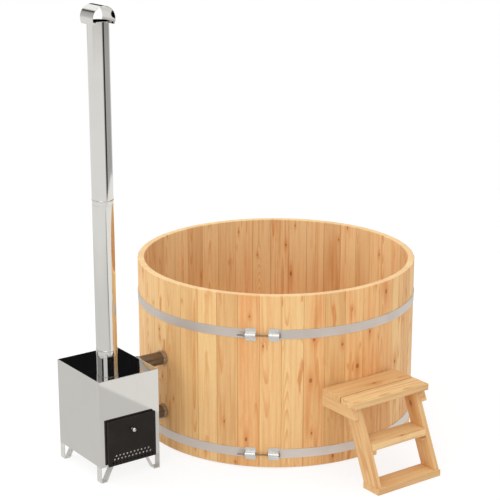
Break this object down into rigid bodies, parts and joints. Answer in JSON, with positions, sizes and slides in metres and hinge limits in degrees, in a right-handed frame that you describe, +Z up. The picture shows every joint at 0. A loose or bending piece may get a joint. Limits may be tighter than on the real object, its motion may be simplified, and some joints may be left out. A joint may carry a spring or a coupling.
{
  "type": "wooden hot tub",
  "caption": "Round stave-built wooden hot tub bound by steel hoops, with inner bench, outside wood-burning stove, tall chimney, water pipes and a wooden step.",
  "frame": {"origin": "on the ground, on the axis of the tub, at the underside of the middle floor bearer", "axes": "+Z up along the tub axis; -X from the tub to the stove; -Y from the tub to the step, the way the stove door faces"},
  "size_m": [2.4205, 2.2997, 2.833],
  "materials": {
    "wood_stave": "planed softwood, oiled, upright grain with knots",
    "wood_floor": "planed softwood",
    "wood_bench": "planed softwood",
    "wood_step": "planed softwood, oiled",
    "hoop_steel": "brushed stainless steel",
    "bolt_steel": "plain stainless steel",
    "casing_steel": "polished stainless sheet",
    "mirror_steel": "mirror-polished stainless sheet",
    "firebox_steel": "heat-darkened steel plate",
    "grate_iron": "raw cast iron",
    "door_black": "satin black heat-proof paint",
    "shield_steel": "bright sheet",
    "knob_chrome": "polished",
    "chimney_steel": "polished stainless tube",
    "pipe_steel": "polished stainless tube",
    "drain_plastic": "grey moulded plastic",
    "plug_rubber": "black rubber"
  },
  "bodies": {
    "hot_tub_set": {"staves": "wood_stave", "pipe_staves": "wood_stave", "floor_boards": "wood_floor", "floor_bearers": "wood_floor", "bench_boards": "wood_bench", "bench_bearers": "wood_bench", "bench_legs": "wood_bench", "bench_cleats": "wood_bench", "step_back_board": "wood_step", "step_front_board": "wood_step", "step_rails": "wood_step", "step_legs": "wood_step", "step_middle_board": "wood_step", "step_cleats": "wood_step", "step_base_board": "wood_step", "hoop_upper": "hoop_steel", "hoop_lower": "hoop_steel", "hoop_lugs": "hoop_steel", "tension_rods": "bolt_steel", "tension_washers": "bolt_steel", "tension_nuts": "bolt_steel", "door_hinge_pins": "bolt_steel", "stove_casing": "casing_steel", "stove_feet": "casing_steel", "stove_top": "mirror_steel", "firebox": "firebox_steel", "grate": "grate_iron", "door_frame": "door_black", "flue_stub": "chimney_steel", "chimney_lower": "chimney_steel", "chimney_upper": "chimney_steel", "chimney_cap": "chimney_steel", "upper_pipe": "pipe_steel", "lower_pipe": "pipe_steel", "tub_collars": "pipe_steel", "stove_collars": "pipe_steel", "inner_flanges": "pipe_steel", "drain_fitting": "drain_plastic", "drain_nut": "drain_plastic"},
    "stove_door": {"door": "door_black", "door_shield": "shield_steel", "door_knob": "knob_chrome"},
    "plug": {"drain_plug": "plug_rubber"}
  },
  "joints": [
    {"name": "stove_door_hinge", "type": "hinge", "parent": "hot_tub_set", "child": "stove_door", "pos_m": [-1.31, -0.3023, 0.109], "axis": [1, 0, 0], "range_deg": [0, 90]},
    {"name": "drain_plug_lift", "type": "slide", "parent": "hot_tub_set", "child": "plug", "axis": [0, 0, 1], "range_m": [0, 0.15]}
  ]
}
